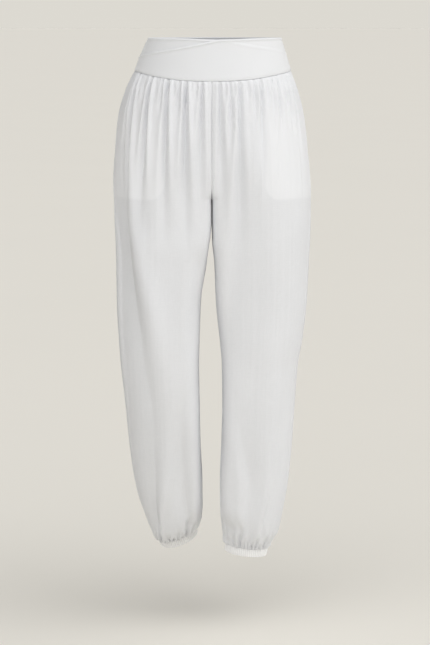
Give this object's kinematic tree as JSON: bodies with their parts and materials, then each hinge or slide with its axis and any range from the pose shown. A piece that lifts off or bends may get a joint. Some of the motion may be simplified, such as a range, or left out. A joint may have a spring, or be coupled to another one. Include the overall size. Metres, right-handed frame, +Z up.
{
  "type": "yoga pants",
  "caption": "Loose yoga pants in worn form with a wide crossed waistband, gathered legs, pockets in the side seams and ribbed ankle cuffs, hollow and open from the waist to both cuffs.",
  "frame": {"origin": "middle of the waistband's ring, half way down its height at the sides, where the wearer's waist holds it", "axes": "+Z up towards the wearer's head, -Y towards the front, +X towards the wearer's left"},
  "size_m": [0.3829, 0.2734, 1.0226],
  "materials": {
    "gathered_cloth": "matte",
    "band_jersey": "matte",
    "cuff_rib": "matte",
    "pocket_cloth": "matte"
  },
  "bodies": {
    "root": {"band_back": "band_jersey", "band_front_over": "band_jersey", "band_front_under": "band_jersey", "front_left": "gathered_cloth", "front_right": "gathered_cloth", "back_left": "gathered_cloth", "back_right": "gathered_cloth", "pocket_bag_left": "pocket_cloth", "pocket_bag_right": "pocket_cloth", "cuff_left": "cuff_rib", "cuff_right": "cuff_rib"}
  },
  "joints": []
}
